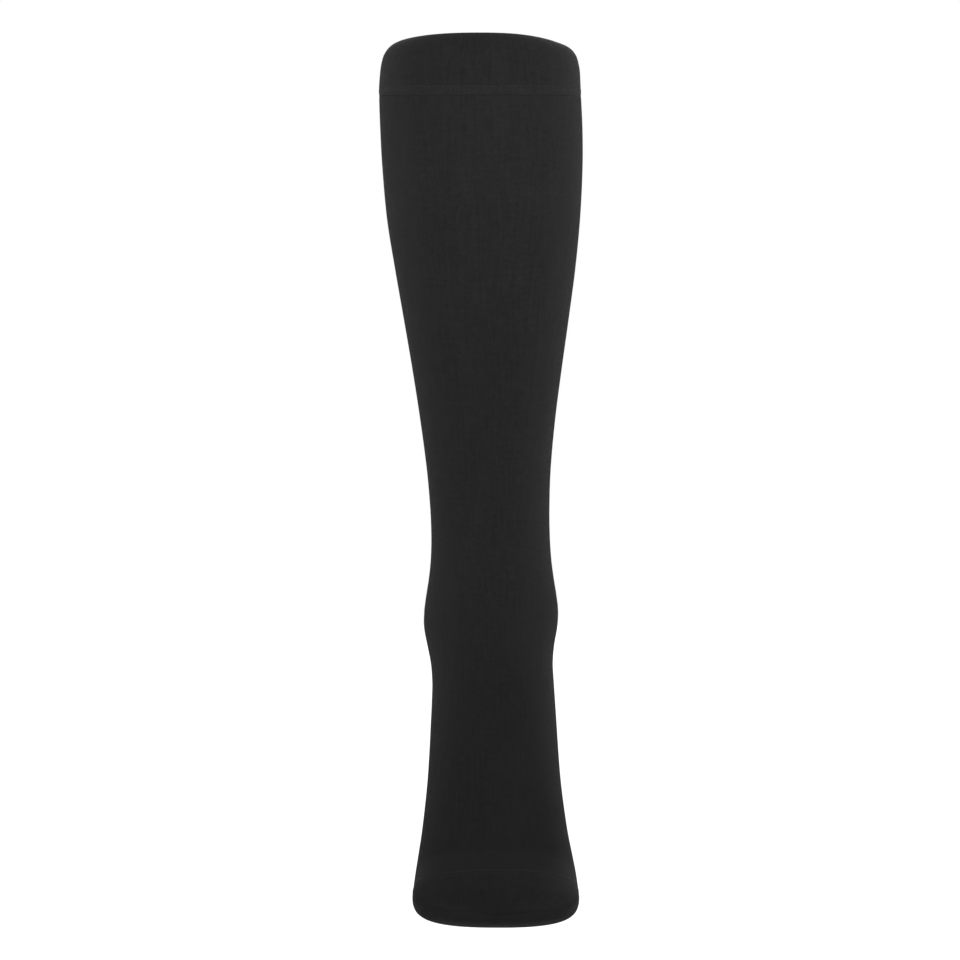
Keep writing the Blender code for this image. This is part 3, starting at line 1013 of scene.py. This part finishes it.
def cut_out_heel(mesh, keep_heel):
    """Cuts the sheet along the heel's join, and draws the cut edge in."""
    side = -1 if keep_heel else 1
    for plane, other in ((HEEL_TOP, HEEL_BOTTOM), (HEEL_BOTTOM, HEEL_TOP)):
        for past in (0.0,) + JOIN_ROWS:
            place = (HEEL_CORNER + plane * past * side) * MM
            cut = near_join(mesh, plane, other)
            bmesh.ops.bisect_plane(mesh, geom=cut, plane_co=place, plane_no=plane)
    unwanted = [face for face in mesh.faces if in_heel(face) != keep_heel]
    bmesh.ops.delete(mesh, geom=unwanted, context="FACES")
    bmesh.ops.remove_doubles(mesh, verts=mesh.verts, dist=JOIN_MERGE * MM)
    mesh.normal_update()
    moves = [join_move(vert, side) for vert in mesh.verts]
    for vert, move in zip(mesh.verts, moves):
        vert.co += move


def turn_heel_knit(mesh):
    """Turns the heel's knit so that its rows run along each half's own edge and meet at the gore."""
    knit_map = mesh.loops.layers.uv["knit_map"]
    for face in mesh.faces:
        above, below = past_heel(face.calc_center_median())
        plane = HEEL_TOP if above > below else HEEL_BOTTOM
        for loop in face.loops:
            loop[knit_map].uv.y = -(loop.vert.co / MM - HEEL_CORNER).dot(plane) * MM


def make_leg_and_heel(knit, heel_knit, reverse):
    """The leg and foot as one sheet, with the heel cut out of it as a piece of its own."""
    rings = [cloth_ring(PATHS, row) for row in leg_rows()]
    leg_mesh, heel_mesh = bmesh.new(), bmesh.new()
    for mesh, keep_heel in ((leg_mesh, False), (heel_mesh, True)):
        add_cloth(mesh, rings)
        cut_out_heel(mesh, keep_heel)
    turn_heel_knit(heel_mesh)
    leg = finish_piece("leg_and_foot_cloth", leg_mesh, knit, reverse)
    heel = finish_piece("heel_cloth", heel_mesh, heel_knit, reverse)
    give_wall(leg, LEG_CLOTH)
    give_wall(heel, HEEL_CLOTH)
    return leg, heel


def make_toe(knit, reverse):
    """The toe cap, from its seam to the closed tip."""
    ridge = [Row(TOE_SEAM, at.from_seam, at.out) for at in TOE_RIDGE]
    rings = [cloth_ring(PATHS, row) for row in ridge + plain_rows(TOE_STRETCH)]
    mesh = bmesh.new()
    lengths = lengths_down(rings)
    last = add_cloth(mesh, rings, lengths)[-1]
    tip = mesh.verts.new(toe_tip() * MM)
    knit_map = mesh.loops.layers.uv["knit_map"]
    for column in range(COLUMNS):
        face = mesh.faces.new([last[column], last[(column + 1) % COLUMNS], tip])
        left, right = column / COLUMNS, (column + 1) / COLUMNS
        end = lengths[-1] + (tip.co - last[column].co).length
        for loop, place in zip(face.loops, ((left, lengths[-1]), (right, lengths[-1]), (left, end))):
            loop[knit_map].uv = place
    piece = finish_piece("toe_cap_cloth", mesh, knit, reverse)
    give_wall(piece, TOE_CLOTH)
    return piece


def make_band_stitches(thread):
    """Two rows of twin-needle stitches that hold the band's lower edge on the leg."""
    mesh = bmesh.new()
    for past in BAND_STITCH_ROWS:
        turns, girth = even_turns(Row(BAND_SEAM, past), BAND_STITCHES)
        reach = math.tau * BAND_STITCH_LENGTH / girth / 2
        for turn in turns:
            places = [(turn + at.share * reach, Row(BAND_SEAM, past, at.out)) for at in BAND_STITCH]
            add_cloth_thread(mesh, places, BAND_THREAD)
    return finish_piece("band_stitches", mesh, thread)


def make_band_looper(thread):
    """The thread that zigzags between the two rows of stitches on the inside."""
    mesh = bmesh.new()
    upper, lower = BAND_STITCH_ROWS
    turns, _ = even_turns(Row(BAND_SEAM, upper), BAND_STITCHES)
    half = math.tau / BAND_STITCHES / 2
    inside = -BAND_DEPTH - LOOPER_THREAD
    for turn in turns:
        corners = ((turn, upper), (turn + half, lower), (turn + 2 * half, upper))
        for (start_turn, start_past), (end_turn, end_past) in zip(corners, corners[1:]):
            places = []
            for at in LOOPER_STITCH:
                past = start_past + (end_past - start_past) * at.share
                row = Row(BAND_SEAM, past, inside + at.out)
                places.append((start_turn + (end_turn - start_turn) * at.share, row))
            add_cloth_thread(mesh, places, LOOPER_THREAD)
    return finish_piece("band_looper_thread", mesh, thread)


def make_toe_linking(thread):
    """Small slanted loops that link the toe cap to the foot."""
    mesh = bmesh.new()
    turns, _ = even_turns(Row(TOE_SEAM), TOE_LOOPS)
    lean = math.tau / TOE_LOOPS * TOE_LOOP_LEAN
    for turn in turns:
        places = []
        for at in TOE_LOOP:
            places.append((turn + at.share * lean, Row(TOE_SEAM, at.share * TOE_LOOP_REACH, at.out)))
        add_cloth_thread(mesh, places, TOE_THREAD)
    return finish_piece("toe_linking", mesh, thread)


def gore_line(side):
    """The line where the heel's halves meet on one side: points and normals, from its corner back."""
    slope = math.tan((HEEL_TOP_SLOPE + HEEL_BOTTOM_SLOPE) / 2)
    side_turn = 0.0 if side > 0 else math.pi
    line = []
    for step in range(GORE_STEPS + 1):
        turn = side_turn - side * math.radians(GORE_TURN) * step / GORE_STEPS
        path = guide_points(turn)
        low, high = GORE_HIGHEST, GORE_LOWEST
        for _ in range(GORE_HALVINGS):
            middle = (low + high) / 2
            point = path_point(path, middle)
            above = point.z - HEEL_CORNER_LEVEL > slope * (point.y - HEEL_CORNER_BACK)
            low, high = (middle, high) if above else (low, middle)
        line.append(on_cloth(turn, Row(low)))
    return [pair for pair in line if GORE_START < pair[0].y < GORE_END]


def make_heel_gores(thread):
    """Small loops across each gore of the heel, where its narrowing rows are picked up again."""
    mesh = bmesh.new()
    for side in (-1, 1):
        line = gore_line(side)
        travelled = 0.0
        for (start, normal), (end, _) in zip(line, line[1:]):
            step = (end - start).length
            along = (end - start).normalized()
            reach = normal.cross(along) * GORE_LOOP_REACH + along * GORE_LOOP_LEAN
            while travelled < step:
                place = start + along * travelled
                points = [place + reach * at.share + normal * at.out for at in GORE_LOOP]
                add_thread(mesh, points, [normal] * len(points), GORE_THREAD)
                travelled += GORE_LOOP_PITCH
            travelled -= step
    return finish_piece("heel_gore_loops", mesh, thread)


def make_floor():
    """A pale floor well below the stocking, which glows to the eye and lights nothing."""
    bpy.ops.mesh.primitive_plane_add(size=FLOOR_SIZE, location=(0.0, 0.0, FLOOR_LEVEL))
    floor = bpy.context.object
    floor.name = "floor"
    floor.visible_diffuse = False
    floor.visible_glossy = False
    pale, _, shader = new_material("pale_floor")
    shader.inputs["Base Color"].default_value = (FLOOR_GREY, FLOOR_GREY, FLOOR_GREY, 1.0)
    shader.inputs["Roughness"].default_value = FLOOR_ROUGHNESS
    shader.inputs["Emission Color"].default_value = (1.0, 1.0, 1.0, 1.0)
    shader.inputs["Emission Strength"].default_value = FLOOR_GLOW
    floor.data.materials.append(pale)


def white_surroundings():
    """White to the eye all round. Its light comes most from just above level, and least from overhead."""
    world = bpy.data.worlds.new("white_studio")
    world.use_nodes = True
    tree = world.node_tree
    background = tree.nodes["Background"]
    background.inputs["Color"].default_value = (1.0, 1.0, 1.0, 1.0)
    direction = tree.nodes.new("ShaderNodeTexCoord").outputs["Generated"]
    light = tree.nodes.new("ShaderNodeFloatCurve")
    points = light.mapping.curves[0].points
    lowest, *others, highest = SURROUNDINGS
    points[0].location = lowest
    points[1].location = highest
    for glow in others:
        points.new(glow.height, glow.strength)
    for point in points:
        point.handle_type = "VECTOR"
    light.mapping.update()
    height = number(tree, "MULTIPLY_ADD", part_of(tree, direction, 2), 0.5, 0.5)
    tree.links.new(height, light.inputs["Value"])
    seen = tree.nodes.new("ShaderNodeLightPath").outputs["Is Camera Ray"]
    tree.links.new(number(tree, "MAXIMUM", seen, light.outputs[0]), background.inputs["Strength"])
    return world


def make_lights():
    """Soft lights, strongest on the right in front and from behind, in white surroundings."""
    bpy.context.scene.world = white_surroundings()
    bpy.context.scene.view_settings.view_transform = "Standard"
    for box in SOFTBOXES:
        light = bpy.data.lights.new(box.name, "AREA")
        light.shape = "RECTANGLE"
        light.size = box.width
        light.size_y = box.height
        light.energy = box.power
        lamp = bpy.data.objects.new(box.name, light)
        bpy.context.collection.objects.link(lamp)
        lamp.location = box.place
        lamp.rotation_euler = (LIGHT_AIM - box.place).to_track_quat("-Z", "Y").to_euler()


def make_camera():
    """A level camera far in front, at the middle of the stocking's height."""
    data = bpy.data.cameras.new("camera")
    data.sensor_width = SENSOR_WIDTH
    data.lens = SENSOR_WIDTH * CAMERA_DISTANCE / FRAME_WIDTH
    camera = bpy.data.objects.new("camera", data)
    camera.location = (0.0, -CAMERA_DISTANCE, CAMERA_HEIGHT)
    camera.rotation_euler = (math.pi / 2, 0.0, 0.0)
    bpy.context.collection.objects.link(camera)
    bpy.context.scene.camera = camera


def main():
    """Makes the cloth and its stitches, attaches them to the root, hides the imported solids that they
    stand in for, and sets up the studio.
    """
    # Every knit gets painted shade between its stitches from the knit group
    knit = make_knit_group()
    # The leg's knit gets its stretch and painted shade by height, and painted shade at its sides
    leg_knit = knit_material("leg_knit", knit, LEG_FINISH, make_stretch_and_shade_group())
    band_knit = knit_material("band_knit", knit, BAND_FINISH)
    # Painted light on the stitched strip, which is a lighter grey than the band
    strip_painted_light_knit = knit_material("strip_painted_light_knit", knit, STRIP_PAINTED_LIGHT_FINISH)
    heel_knit = knit_material("heel_knit", knit, HEEL_FINISH)
    # The toe's knit gets painted light along its seam and at its sides
    toe_knit = knit_material("toe_knit", knit, TOE_FINISH, make_toe_painted_light_group())
    reverse = knit_material("reverse_knit", knit, REVERSE_FINISH)
    thread = thread_material()

    band = make_band(band_knit, strip_painted_light_knit, reverse)
    leg, heel = make_leg_and_heel(leg_knit, heel_knit, reverse)
    toe = make_toe(toe_knit, reverse)
    stitches = make_band_stitches(thread)
    looper = make_band_looper(thread)
    linking = make_toe_linking(thread)
    gores = make_heel_gores(thread)

    Part = namedtuple("Part", "piece node slot flat area trims")
    for part in (
        Part(band, "knee_band", "band_knit", (0.265, 0.035), None, [stitches, looper]),
        Part(leg, "leg_and_foot", "leg_knit", (0.265, 0.500), 0.088, []),
        Part(heel, "heel", "heel_knit", (0.120, 0.090), 0.0070, [gores]),
        Part(toe, "toe_cap", "toe_knit", (0.180, 0.050), 0.0070, [linking]),
    ):
        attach(part.piece, "root")
        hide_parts(part.node)
        for trim in part.trims:
            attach(trim, "root")

    make_floor()
    make_lights()
    make_camera()


main()
